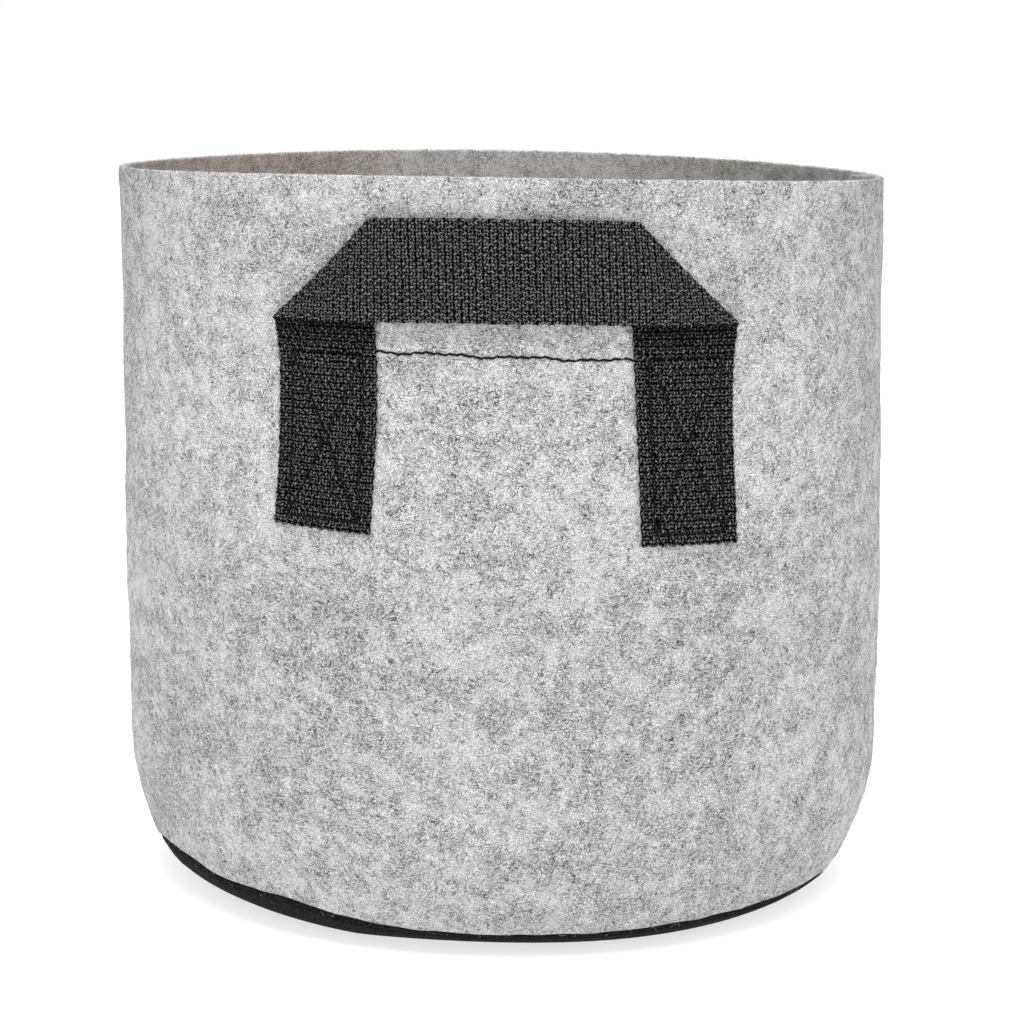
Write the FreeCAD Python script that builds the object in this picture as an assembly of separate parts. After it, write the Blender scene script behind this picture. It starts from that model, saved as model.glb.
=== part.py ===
import FreeCAD, Part
import math
import os

# Round fabric grow bag, 5 US gallon size, millimetres, +Z up.
# Origin: centre of the base, on the surface the bag stands on.
# -Y is the front, and the wall's own vertical seam is at +X.
# Two webbing handles are sewn on, one in front and one behind, half a turn apart.

# --- bag -----------------------------------------------------------------
BAG_RADIUS = 152.5          # outside of the felt wall
BAG_HEIGHT = 284.0          # floor to raw-cut rim
FELT = 3.0                  # thickness of the needle-punched felt
TURN_UP_ANGLE = 60.0        # how far the base's edge turns up before the base seam
TURN_UP_RADIUS = 18.6       # outer bend of the base's turned-up edge
WALL_ROLL_RADIUS = 90.0     # outer bend of the wall above the base seam

# --- seam allowances, both turned to the inside ----------------------------
BASE_ALLOWANCE = 8.0
SIDE_ALLOWANCE = 10.0
SIDE_SEAM_SLIT = 0.2        # the wall's two edges meet here

# --- webbing handles -------------------------------------------------------
STRAP_WIDTH = 38.5
STRAP = 1.4                 # thickness of the woven webbing
LEG_CENTRE = 66.5           # arc length from the handle's centre to a leg's centre
HANDLE_SHIFT = 2.5          # handle's centre, as arc length to the viewer's right
SPAN_TOP_DROP = 15.0        # grip span's upper edge below the rim
SPAN_HEIGHT = 36.5          # grip span's width once it has relaxed
LEG_TOP_DROP = 60.5         # where a leg leaves the wall and starts to flex
LEG_BOTTOM_DROP = 127.5     # cut end of a leg
LEG_CLEARANCE = 0.02        # leg's back face off the felt
LOOP_CLEARANCE = 0.4        # free loop's back face off the felt
LAYER_GAP = 0.1             # between the two layers of a folded corner
FLEX_GAP = 0.3              # between the sewn leg and the free loop

# --- stitching -------------------------------------------------------------
THREAD_RADIUS = 0.35
STITCH_PITCH = 6.5
STITCH_GAP = 0.55           # from the needle hole to the start of the stitch
THREAD_LIFT = 0.06          # thread's skin off the cloth
CROSS_LINE_DROP = 62.0      # line of stitching between the two legs
BOX_INSET = 5.2             # box stitching in from a leg's long edges
BOX_FOOT = 4.0              # and up from its cut end

RIM = BAG_HEIGHT
PHI = math.radians(TURN_UP_ANGLE)
ROLL_Z = (TURN_UP_RADIUS * (1 - math.cos(PHI)) + WALL_ROLL_RADIUS * math.cos(PHI))
BASE_FLAT_RADIUS = (BAG_RADIUS - WALL_ROLL_RADIUS * (1 - math.sin(PHI))
                    - TURN_UP_RADIUS * math.sin(PHI))

# The base seam in the radius-height plane: its point on the outside, the
# direction up the wall, and the direction into the bag.
SEAM = (BASE_FLAT_RADIUS + TURN_UP_RADIUS * math.sin(PHI), TURN_UP_RADIUS * (1 - math.cos(PHI)))
UP_WALL = (math.cos(PHI), math.sin(PHI))
INWARD = (-math.sin(PHI), math.cos(PHI))

X_AXIS = FreeCAD.Vector(1, 0, 0)
Y_AXIS = FreeCAD.Vector(0, 1, 0)
Z_AXIS = FreeCAD.Vector(0, 0, 1)
ORIGIN = FreeCAD.Vector(0, 0, 0)


def plane_point(radius, height):
    """A point of the radius-height plane, drawn at +X."""
    return FreeCAD.Vector(radius, 0, height)


def seam_point(up, inward):
    """A point near the base seam, by distance up the wall and into the bag."""
    return plane_point(SEAM[0] + up * UP_WALL[0] + inward * INWARD[0],
                       SEAM[1] + up * UP_WALL[1] + inward * INWARD[1])


def bend_point(centre_r, centre_z, radius, slope):
    """The point of a bend where the profile's slope to the floor is slope."""
    return plane_point(centre_r + radius * math.sin(slope), centre_z - radius * math.cos(slope))


def bend(centre_r, centre_z, radius, first, last):
    points = [bend_point(centre_r, centre_z, radius, slope)
              for slope in (first, (first + last) / 2, last)]
    return Part.Arc(*points).toShape()


def line(a, b):
    return Part.LineSegment(a, b).toShape()


def face(edges):
    return Part.Face(Part.Wire(edges))


def revolved(edges):
    return face(edges).revolve(ORIGIN, Z_AXIS, 360)


def wall_panel():
    """One felt sheet in a ring, open at its side seam, with its edges turned in."""
    centre_r = BAG_RADIUS - WALL_ROLL_RADIUS
    inner = WALL_ROLL_RADIUS - FELT
    reach = WALL_ROLL_RADIUS - math.sqrt(inner ** 2 - FELT ** 2)
    inner_slope = PHI + math.asin(FELT / inner)
    upright = math.pi / 2
    outer_foot = bend_point(centre_r, ROLL_Z, WALL_ROLL_RADIUS, upright)
    inner_foot = bend_point(centre_r, ROLL_Z, inner, upright)
    outer_rim = plane_point(BAG_RADIUS, RIM)
    inner_rim = plane_point(BAG_RADIUS - FELT, RIM)
    shell = revolved([
        bend(centre_r, ROLL_Z, WALL_ROLL_RADIUS, PHI, upright),
        line(outer_foot, outer_rim),
        line(outer_rim, inner_rim),
        line(inner_rim, inner_foot),
        bend(centre_r, ROLL_Z, inner, upright, inner_slope),
        line(seam_point(FELT, reach), seam_point(FELT, BASE_ALLOWANCE)),
        line(seam_point(FELT, BASE_ALLOWANCE), seam_point(0, BASE_ALLOWANCE)),
        line(seam_point(0, BASE_ALLOWANCE), seam_point(0, 0)),
    ])
    slit = Part.makeBox(BAG_RADIUS, SIDE_SEAM_SLIT, 2 * RIM,
                        FreeCAD.Vector(1, -SIDE_SEAM_SLIT / 2, -RIM / 2))
    joined = shell.fuse([side_allowance(1), side_allowance(-1)])
    return joined.cut(slit).removeSplitter()


def side_allowance(side):
    """One turned-in edge of the side seam, rooted in the middle of the felt."""
    centre_r = BAG_RADIUS - WALL_ROLL_RADIUS
    root = WALL_ROLL_RADIUS - FELT / 2
    tip = WALL_ROLL_RADIUS - FELT - SIDE_ALLOWANCE
    upright = math.pi / 2
    foot_slope = PHI + math.radians(5)
    root_rim = plane_point(centre_r + root, RIM)
    tip_rim = plane_point(centre_r + tip, RIM)
    outline = face([
        bend(centre_r, ROLL_Z, root, foot_slope, upright),
        line(bend_point(centre_r, ROLL_Z, root, upright), root_rim),
        line(root_rim, tip_rim),
        line(tip_rim, bend_point(centre_r, ROLL_Z, tip, upright)),
        bend(centre_r, ROLL_Z, tip, upright, foot_slope),
        line(bend_point(centre_r, ROLL_Z, tip, foot_slope),
             bend_point(centre_r, ROLL_Z, root, foot_slope)),
    ])
    return outline.extrude(Y_AXIS * side * (FELT + SIDE_SEAM_SLIT / 2))


def base_panel():
    """Felt disc with its edge turned up to the base seam and then in."""
    inner = TURN_UP_RADIUS - FELT
    reach = TURN_UP_RADIUS - math.sqrt(inner ** 2 - FELT ** 2)
    inner_slope = PHI - math.asin(FELT / inner)
    flat_edge = plane_point(BASE_FLAT_RADIUS, 0)
    floor_edge = plane_point(BASE_FLAT_RADIUS, FELT)
    return revolved([
        line(ORIGIN, flat_edge),
        bend(BASE_FLAT_RADIUS, TURN_UP_RADIUS, TURN_UP_RADIUS, 0, PHI),
        line(seam_point(0, 0), seam_point(0, BASE_ALLOWANCE)),
        line(seam_point(0, BASE_ALLOWANCE), seam_point(-FELT, BASE_ALLOWANCE)),
        line(seam_point(-FELT, BASE_ALLOWANCE), seam_point(-FELT, reach)),
        bend(BASE_FLAT_RADIUS, TURN_UP_RADIUS, inner, inner_slope, 0),
        line(floor_edge, plane_point(0, FELT)),
        line(plane_point(0, FELT), ORIGIN),
    ])


def on_wall(arc, height, lift):
    """A point on the front wall: arc length from -Y, height, distance off the felt."""
    angle = arc / BAG_RADIUS
    radius = BAG_RADIUS + lift
    return FreeCAD.Vector(radius * math.sin(angle), -radius * math.cos(angle), height)


def front_sheet(outline, lift, thickness):
    """A sheet that follows the wall, trimmed to an outline of arc lengths and heights."""
    low = min(height for arc, height in outline)
    high = max(height for arc, height in outline)
    base = FreeCAD.Vector(0, 0, low)
    outside = Part.makeCylinder(BAG_RADIUS + lift + thickness, high - low, base)
    ring = outside.cut(Part.makeCylinder(BAG_RADIUS + lift, high - low, base))
    corners = [FreeCAD.Vector(BAG_RADIUS * math.sin(arc / BAG_RADIUS), 0, height)
               for arc, height in outline]
    prism = Part.Face(Part.makePolygon(corners + corners[:1]))
    return ring.common(prism.extrude(Y_AXIS * -2 * BAG_RADIUS))


def leg_arcs(side):
    """The inner and outer edge of a leg, as arc lengths; side is -1 left, 1 right."""
    centre = HANDLE_SHIFT + side * LEG_CENTRE
    return centre - side * STRAP_WIDTH / 2, centre + side * STRAP_WIDTH / 2


def handle_leg(side):
    """The sewn-down part of the strap, flat on the wall."""
    inner, outer = leg_arcs(side)
    top = RIM - LEG_TOP_DROP
    bottom = RIM - LEG_BOTTOM_DROP
    outline = [(inner, bottom), (outer, bottom), (outer, top), (inner, top)]
    return front_sheet(outline, LEG_CLEARANCE, STRAP)


def handle_loop():
    """The free part of the strap: both leg ends, the two 45 degree folds, the grip."""
    fold_z = RIM - SPAN_TOP_DROP - SPAN_HEIGHT
    top_z = RIM - SPAN_TOP_DROP
    start_z = RIM - LEG_TOP_DROP + FLEX_GAP
    under = LOOP_CLEARANCE
    over = LOOP_CLEARANCE + STRAP + LAYER_GAP
    left_in, left_out = leg_arcs(-1)
    right_in, right_out = leg_arcs(1)
    grip = front_sheet([(left_out, fold_z), (right_out, fold_z), (right_in, top_z),
                        (left_in, top_z)], over, STRAP)
    pieces = []
    for inner, outer in ((left_in, left_out), (right_in, right_out)):
        crease = STRAP if outer > inner else -STRAP
        pieces.append(front_sheet([(inner, start_z), (outer, start_z), (outer, fold_z),
                                   (inner, top_z)], under, STRAP))
        pieces.append(front_sheet([(outer - crease, fold_z), (outer, fold_z),
                                   (inner, top_z), (inner - crease, top_z)],
                                  under, over + STRAP - under))
    return grip.fuse(pieces).removeSplitter()


def stitch(start, end):
    along = (end - start).normalize()
    foot = start + along * STITCH_GAP
    length = (end - start).Length - 2 * STITCH_GAP
    return Part.makeCylinder(THREAD_RADIUS, length, foot, along)


def stitch_row(place, length):
    """Stitches along a line; place gives the point at a distance along it."""
    count = max(1, round(length / STITCH_PITCH))
    pitch = length / count
    return [stitch(place(index * pitch), place((index + 1) * pitch)) for index in range(count)]


def wall_row(start, end, lift):
    """Stitches between two points of the wall, given as arc length and height."""
    length = math.dist(start, end)

    def place(distance):
        part = distance / length
        return on_wall(start[0] + (end[0] - start[0]) * part,
                       start[1] + (end[1] - start[1]) * part, lift)

    return stitch_row(place, length)


def box_thread(side, lift, over):
    """Box and cross stitching of one leg; over lifts the second diagonal."""
    inner, outer = leg_arcs(side)
    near = inner + side * BOX_INSET
    far = outer - side * BOX_INSET
    top = RIM - CROSS_LINE_DROP
    bottom = RIM - LEG_BOTTOM_DROP + BOX_FOOT
    rows = []
    corners = [(near, top), (far, top), (far, bottom), (near, bottom)]
    for index, corner in enumerate(corners):
        rows += wall_row(corner, corners[(index + 1) % 4], lift)
    for (first, last), height in (((0, 2), lift), ((1, 3), lift + over)):
        start, end = corners[first], corners[last]
        trim = 2.5 / math.dist(start, end)
        inset = [(start[k] + (end[k] - start[k]) * trim, end[k] + (start[k] - end[k]) * trim)
                 for k in (0, 1)]
        rows += wall_row((inset[0][0], inset[1][0]), (inset[0][1], inset[1][1]), height)
    return Part.makeCompound(rows)


def cross_thread(lift):
    """The line of stitching on the felt from one leg to the other."""
    height = RIM - CROSS_LINE_DROP
    left = leg_arcs(-1)[0] + 1
    right = leg_arcs(1)[0] - 1
    return Part.makeCompound(wall_row((left, height), (right, height), lift))


def side_seam_thread(side):
    """Stitches down one face of the side seam's allowance."""
    radius = BAG_RADIUS - FELT - SIDE_ALLOWANCE / 2
    offset = side * (SIDE_SEAM_SLIT / 2 + FELT + THREAD_LIFT + THREAD_RADIUS)
    top = RIM - 3

    def place(distance):
        return FreeCAD.Vector(radius, offset, top - distance)

    return Part.makeCompound(stitch_row(place, top - ROLL_Z))


def base_seam_thread(side):
    """A ring of stitches on one face of the base seam's allowance."""
    up = side * (FELT + THREAD_LIFT + THREAD_RADIUS)
    middle = seam_point(up, FELT + (BASE_ALLOWANCE - FELT) / 2)

    def place(distance):
        angle = distance / middle.x
        return FreeCAD.Vector(middle.x * math.cos(angle), middle.x * math.sin(angle), middle.z)

    return Part.makeCompound(stitch_row(place, 2 * math.pi * middle.x))


def half_turn(shape):
    turned = shape.copy()
    turned.rotate(ORIGIN, Z_AXIS, 180)
    return turned


def handle_nodes():
    """The pieces of one handle, as they are on the front."""
    on_leg = LEG_CLEARANCE + STRAP + THREAD_LIFT + THREAD_RADIUS
    on_felt = THREAD_LIFT + THREAD_RADIUS
    inside = -FELT - THREAD_LIFT - THREAD_RADIUS
    over = 2 * THREAD_RADIUS + THREAD_LIFT
    pieces = {
        "handle_loop": handle_loop(),
        "cross_needle_thread": cross_thread(on_felt),
        "cross_bobbin_thread": cross_thread(inside),
    }
    for side, name in ((-1, "left"), (1, "right")):
        pieces[name + "_leg"] = handle_leg(side)
        pieces[name + "_box_needle_thread"] = box_thread(side, on_leg, over)
        pieces[name + "_box_bobbin_thread"] = box_thread(side, inside, -over)
    return pieces


nodes = {
    "wall_panel": wall_panel(),
    "base_panel": base_panel(),
    "side_seam_needle_thread": side_seam_thread(1),
    "side_seam_bobbin_thread": side_seam_thread(-1),
    "base_seam_needle_thread": base_seam_thread(1),
    "base_seam_bobbin_thread": base_seam_thread(-1),
}
for name, shape in handle_nodes().items():
    nodes["front_" + name] = shape
    nodes["back_" + name] = half_turn(shape)

os.makedirs("parts", exist_ok=True)
for name, shape in nodes.items():
    shape.exportStep("parts/" + name + ".step")
    print(name, len(shape.Solids), shape.isValid(), round(shape.Volume, 1))
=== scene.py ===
import math

import bpy
import numpy as np
from mathutils import Matrix, Vector


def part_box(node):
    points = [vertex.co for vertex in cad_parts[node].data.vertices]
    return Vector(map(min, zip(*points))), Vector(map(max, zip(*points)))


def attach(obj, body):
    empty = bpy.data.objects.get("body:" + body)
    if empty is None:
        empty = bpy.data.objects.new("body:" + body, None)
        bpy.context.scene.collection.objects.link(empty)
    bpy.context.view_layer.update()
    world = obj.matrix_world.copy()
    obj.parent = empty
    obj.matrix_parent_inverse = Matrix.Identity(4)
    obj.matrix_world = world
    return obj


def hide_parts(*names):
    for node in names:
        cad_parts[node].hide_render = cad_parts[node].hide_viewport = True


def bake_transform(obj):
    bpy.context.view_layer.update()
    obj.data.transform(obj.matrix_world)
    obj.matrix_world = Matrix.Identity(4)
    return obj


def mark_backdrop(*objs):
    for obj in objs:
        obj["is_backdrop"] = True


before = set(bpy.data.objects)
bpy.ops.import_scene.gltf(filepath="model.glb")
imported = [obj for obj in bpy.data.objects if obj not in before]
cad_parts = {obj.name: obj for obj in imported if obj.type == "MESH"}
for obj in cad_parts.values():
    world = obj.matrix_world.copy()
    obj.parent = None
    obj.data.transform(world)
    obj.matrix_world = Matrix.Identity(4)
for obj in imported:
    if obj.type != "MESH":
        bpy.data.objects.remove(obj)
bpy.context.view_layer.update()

MM = 0.001
TAU = 2 * math.pi

# --- the bag's driving sizes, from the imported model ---
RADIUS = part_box("wall_panel")[1].x
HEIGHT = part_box("wall_panel")[1].z
LEG_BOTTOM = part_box("front_left_leg")[0].z
CROSS_Z = (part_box("front_cross_needle_thread")[0].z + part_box("front_cross_needle_thread")[1].z) / 2
SPAN_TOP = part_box("front_handle_loop")[1].z

# --- felt, as cut and sewn ----------------------
FELT = 3.0 * MM
FIBRE_CURL = 4.5 * MM           # how far the shading's fibres are bent
PAINTED_LIGHT_CHANGE = 0.13              # painted light and shade: how much lighter and darker the wall's colour gets in the zones below
LIGHT_POOL_IN, LIGHT_POOL_OUT = (120 * MM, 190 * MM), (205 * MM, 238 * MM)    # painted light round the handles
SIDE_SHADE_IN = (190 * MM, 275 * MM)                                    # painted shade at the sides, towards the rim
TURN_UP_ANGLE = math.radians(60)
TURN_UP_RADIUS = 18.6 * MM
WALL_ROLL_RADIUS = 90.0 * MM
BASE_ALLOWANCE = 8.0 * MM
SIDE_ALLOWANCE = 10.0 * MM
SIDE_SEAM = math.pi / 2         # angle from the front, towards +X

# --- how the soft bag stands --------------------
RIM_DIP = 1.5 * MM              # rim higher in front and behind than at the sides
LEAN = 3.6 * MM                 # foot's shift to +X against the rim
FRONT_FOOT = 3.0 * MM           # foot's shift to the front
RIM_TILT = 0.5 * MM             # rim a little higher at the left
RIM_LIFT = 0.4 * MM             # and higher all round
BELLY = 1.5 * MM                # wall's slight bulge below the middle
BELLY_PLACE, BELLY_SPREAD = 0.42, 0.25      # as shares of the height
WIDE_WAVES = 0.7 * MM           # how far the rim is out of round
MIDDLE_WAVES = 0.35 * MM        # broad dents and bulges of the wall
SMALL_WAVES = 0.18 * MM         # small ones, gone at the rim
PUCKER = 0.55 * MM              # gathers where the wall is sewn to the base
PUCKER_PLACE, PUCKER_SPREAD = 5 * MM, 9 * MM    # above the seam
FOOT_REACH = 60 * MM            # height up to which the foot is out of round
FOOT_DEEPER = 2.2 * MM          # foot's extra radius in front
FOOT_NARROWER = 1.4 * MM        # and what it lacks at the right
HEEL = 35.0 * MM                # outer part of the base that curls up off the floor
CURL_LEFT = 3.4 * MM            # how high it curls at the left
CURL_FRONT = 1.7 * MM           # and in front

# --- webbing and thread -------------------------
STRAP_WIDTH = 38.3 * MM
STRAP = 1.3 * MM
WARP_ENDS = 31                  # yarns across the strap
WEAVE_REPEAT = 5.1 * MM         # a yarn goes over two wefts and under two
COLUMNS_PER_END = 3             # mesh columns in a yarn's width
ROWS_PER_REPEAT = 8             # mesh rows in a weave repeat
END_PITCH = STRAP_WIDTH / WARP_ENDS
BACK_FACE = 200.5 * WEAVE_REPEAT    # the strap's back is this far along its cloth map
YARN_CROWN = (0.05, 0.42)       # yarn's height where it dives, and its rise from there, in mm
YARN_SLANT = 5.4                # how far the plies turn across a yarn, in radians, other way in the next
SLANT_DRIFT = (0.45, 1.3)       # least and greatest share of that turn
YARN_SHAKE = (1.1 * MM, 0.5 * MM, 0.0)      # unevenness of the yarns' shading, along and across
# Painted highlights: how much the yarns' crests, beads and wefts lighten the base colour, and raise its
# specular level
CREST_SHINE, BEAD_SHINE, WEFT_SHINE = 0.24, 0.74, 0.52
SHINE_GAIN, SHINE_OFFSET = 1.36, -0.195
FACE_SPLIT = (0.4, 0.6)         # lies between the strap's two faces on its cloth map, in metres
FACE_SHINE = (0.82, 1.02)       # painted sheen of the face that the legs show, less as painted shade, and of the grip's
FOLD_SHADE = 0.45               # shine left in the webbing where the fold shades it
THREAD_RADIUS = 0.32 * MM
THREAD_TWIST = 1.1 * MM         # length of one turn of its plies
CROSS_THREAD_RADIUS = 0.42 * MM
CROSS_DENT, CROSS_DENT_WIDTH = 0.55 * MM, 1.1 * MM      # what its stitches press into the felt
CROSS_DENT_REACH = 47 * MM      # and how far from the handle's middle
CROSS_STITCH = 4.2 * MM
STITCH = 6.5 * MM
HOLE = 0.75 * MM                # how near a hole a stitch dives into the cloth
BOX_THREAD_RADIUS = 0.36 * MM
BOX_DENT, BOX_DENT_WIDTH = 0.8 * MM, 1.2 * MM   # what its stitches press into the strap
BOX_INSET = 5.2 * MM            # box stitching in from a leg's long edges
BOX_FOOT = 4.0 * MM             # and up from its cut end
HANDLE_SHIFT = 2.4 * MM         # handle's middle, to the viewer's right
LEG_OUT = 86.9 * MM             # handle's middle to a leg's outer edge at the fold
LEG_CENTRE = LEG_OUT - STRAP_WIDTH / 2
SPAN_HEIGHT = 36.0 * MM         # grip's width on the bag, a little under the strap's own
FOLD_Z = SPAN_TOP - SPAN_HEIGHT + 0.8 * MM
SPAN_LEAN = 0.9 * MM            # grip's upper edge, to the viewer's left of its lower edge
FOLD_RADIUS = 0.95 * MM
LEG_LENGTH = FOLD_Z - LEG_BOTTOM
STRAP_HALF = LEG_OUT + LEG_LENGTH
SEWN = CROSS_Z - LEG_BOTTOM     # cut end to the top of the box stitching
CREASE_BOW = 1.0 * MM           # middle of the folded corner, inward of a straight fold
CREASE_INSET = 1.3 * MM         # and its upper end
FRONT, BACK = 0.0, math.pi      # which way a handle faces, as an angle from the front

LEG_STEP = 0.7                  # leg's step inward below the fold, in mm
LEG_EASE = 14 * MM              # how far below the fold a leg takes its own shape
FREE_EASE = 14 * MM             # how far above its stitching the strap comes free of the wall
FLARE_REACH = 12 * MM           # how far from the fold a leg's flare goes
CREASE_REACH = 9 * MM           # how far from the folded corner its bow goes
SPAN_SAG = 1.0 * MM             # how far the middle of the grip stands off the wall
SPAN_CURL = 0.35 * MM           # grip's edges, out past its middle line
EDGE_WAVE = 0.5 * MM            # waviness of the grip's long edges

# For each leg: spread of its width, bow inward, lean outward, how much lower its outer
# and inner corners are cut, and how far its inner edge flares under the fold.
LEG_SHAPE = {-1: (1.005, 1.8, 1.4, -3.2, -1.6, 1.4), 1: (1.014, 1.3, 0.8, 2.0, 1.4, 4.3)}

# --- the profile, outside, as arc length from the middle of the base ---
ROLL_Z = TURN_UP_RADIUS * (1 - math.cos(TURN_UP_ANGLE)) + WALL_ROLL_RADIUS * math.cos(TURN_UP_ANGLE)
FLAT = (RADIUS - WALL_ROLL_RADIUS * (1 - math.sin(TURN_UP_ANGLE))
        - TURN_UP_RADIUS * math.sin(TURN_UP_ANGLE))
TURN_UP = TURN_UP_RADIUS * TURN_UP_ANGLE
WALL_ROLL = WALL_ROLL_RADIUS * (math.pi / 2 - TURN_UP_ANGLE)
WALL_FOOT = FLAT + TURN_UP + WALL_ROLL
RIM = WALL_FOOT + HEIGHT - ROLL_Z
INNER_FACE = BASE_ALLOWANCE + RIM - FLAT - TURN_UP + 1 * MM    # where the cloth map passes the rim


def profile(s):
    """Radius, height and outward normal of the bag's outside at arc length s."""
    turn = (s - FLAT) / TURN_UP_RADIUS
    roll = TURN_UP_ANGLE + (s - FLAT - TURN_UP) / WALL_ROLL_RADIUS
    zones = [s < FLAT, s < FLAT + TURN_UP, s < WALL_FOOT]
    slope = np.select(zones, [0 * s, turn, roll], math.pi / 2)
    radius = np.select(zones, [s, FLAT + TURN_UP_RADIUS * np.sin(turn),
                               RADIUS - WALL_ROLL_RADIUS * (1 - np.sin(roll))], RADIUS)
    height = np.select(zones, [0 * s, TURN_UP_RADIUS * (1 - np.cos(turn)),
                               ROLL_Z - WALL_ROLL_RADIUS * np.cos(roll)],
                       ROLL_Z + s - WALL_FOOT)
    return radius, height, np.sin(slope), -np.cos(slope)


def waves(angle, count, phase_seed, falloff=0.6):
    """A smooth round-the-bag wobble of unit size, made of the given wave counts."""
    local = np.random.default_rng(phase_seed)
    total = 0 * angle
    size = 0.0
    for order, n in enumerate(count):
        weight = falloff ** order
        total = total + weight * np.cos(n * angle + local.uniform(0, TAU))
        size += weight
    return total / size


def hump(angle, centre, spread):
    """One at the centre angle, falling smoothly to nothing; both in degrees."""
    away = (angle - math.radians(centre) + math.pi) % TAU - math.pi
    return np.exp(-(away / math.radians(spread)) ** 2)


def seam_at(angle):
    """Arc length of the base seam, which wanders: pulled up at the left, low in front."""
    pulls = ((-62, 16, 7.0), (-35, 9.5, 4.9), (-24, 6, 1.2), (7, 6, 1.0), (3, 18, -3.4),
             (150, 30, 3.0), (-130, 25, -2.0))
    rise = 0 * angle
    for centre, spread, amount in pulls:
        rise = rise + amount * hump(angle, centre, spread)
    ripple = 0.45 * waves(angle, (31, 43, 58, 83), 5, 0.8)
    return FLAT + TURN_UP + (rise + ripple) * MM


def base_curl(angle):
    """How far the edge of the base lifts off the floor: most at the left, none at the right."""
    return np.maximum(CURL_LEFT * hump(angle, -62, 34), CURL_FRONT * hump(angle, -6, 22))


def heel(s):
    """One at the edge of the base's flat part and above, falling to nothing further in."""
    share = np.clip((s - FLAT + HEEL) / HEEL, 0, 1)
    return share ** 2


def skin(angle, s, lift):
    """A point of the soft bag: angle from the front, arc length up the profile, distance out."""
    radius, height, out, up = profile(s)
    share = height / HEIGHT
    low = np.clip(1 - height / FOOT_REACH, 0, 1)
    belly = BELLY * (1 + 0.2 * np.sin(angle)) * np.exp(-((share - BELLY_PLACE) / BELLY_SPREAD) ** 2)
    sway = (belly + WIDE_WAVES * waves(angle, (3, 4, 5), 1) * share ** 2
            + MIDDLE_WAVES * waves(angle + 5 * share, (5, 8, 11), 2)
            + SMALL_WAVES * waves(angle - 9 * share, (14, 19, 27), 3) * (1 - share))
    above_seam = (s - seam_at(angle) - PUCKER_PLACE) / PUCKER_SPREAD
    pucker = PUCKER * waves(angle, (29, 41, 55), 4, 0.8) * np.exp(-above_seam ** 2)
    standing = np.clip((s - FLAT) / TURN_UP, 0, 1)
    radius = radius + lift * out + (sway + pucker) * standing
    radius = radius + low * standing * (FOOT_DEEPER * np.cos(angle) - FOOT_NARROWER * np.sin(angle))
    height = (height + lift * up + base_curl(angle) * heel(s) * (1 - share)
              + (RIM_DIP * np.cos(2 * angle) + RIM_LIFT - RIM_TILT * np.sin(angle)) * share ** 3)
    x = radius * np.sin(angle) + LEAN * (1 - share) * standing
    y = -radius * np.cos(angle) - FRONT_FOOT * (1 - share) * standing
    return np.stack([x, y, np.maximum(height, 0)], -1)


# --- mesh building ------------------------------
def grid_quads(rows, columns, start=0, wrap=False):
    """Quads of a grid of points, row by row; wrap joins the last column to the first."""
    r = np.arange(rows - 1)[:, None]
    c = np.arange(columns if wrap else columns - 1)[None, :]
    right = (c + 1) % columns
    quads = np.stack([r * columns + c, r * columns + right,
                      (r + 1) * columns + right, (r + 1) * columns + c], -1)
    return quads.reshape(-1, 4) + start


def mesh_object(name, points, faces, material, uv=None, flip=False):
    """A smooth-shaded object from numpy points and equal-sided faces (or a list of such arrays)."""
    mesh = bpy.data.meshes.new(name)
    groups = faces if isinstance(faces, list) else [faces]
    if flip:
        groups = [g[:, ::-1] for g in groups]
    sides = np.concatenate([np.full(len(g), g.shape[1]) for g in groups])
    corners = np.concatenate([g.ravel() for g in groups]).astype(np.int32)
    mesh.vertices.add(len(points))
    mesh.vertices.foreach_set("co", np.asarray(points, np.float32).ravel())
    mesh.loops.add(len(corners))
    mesh.loops.foreach_set("vertex_index", corners)
    mesh.polygons.add(len(sides))
    starts = np.concatenate([[0], np.cumsum(sides)[:-1]]).astype(np.int32)
    mesh.polygons.foreach_set("loop_start", starts)
    mesh.polygons.foreach_set("loop_total", sides.astype(np.int32))
    mesh.polygons.foreach_set("use_smooth", np.ones(len(sides), bool))
    if uv is not None:
        layer = mesh.uv_layers.new(name="cloth")
        layer.data.foreach_set("uv", np.asarray(uv, np.float32)[corners].ravel())
    mesh.update(calc_edges=True)
    mesh.validate()
    piece = bpy.data.objects.new(name, mesh)
    piece.data.materials.append(material)
    bpy.context.scene.collection.objects.link(piece)
    return piece


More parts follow.
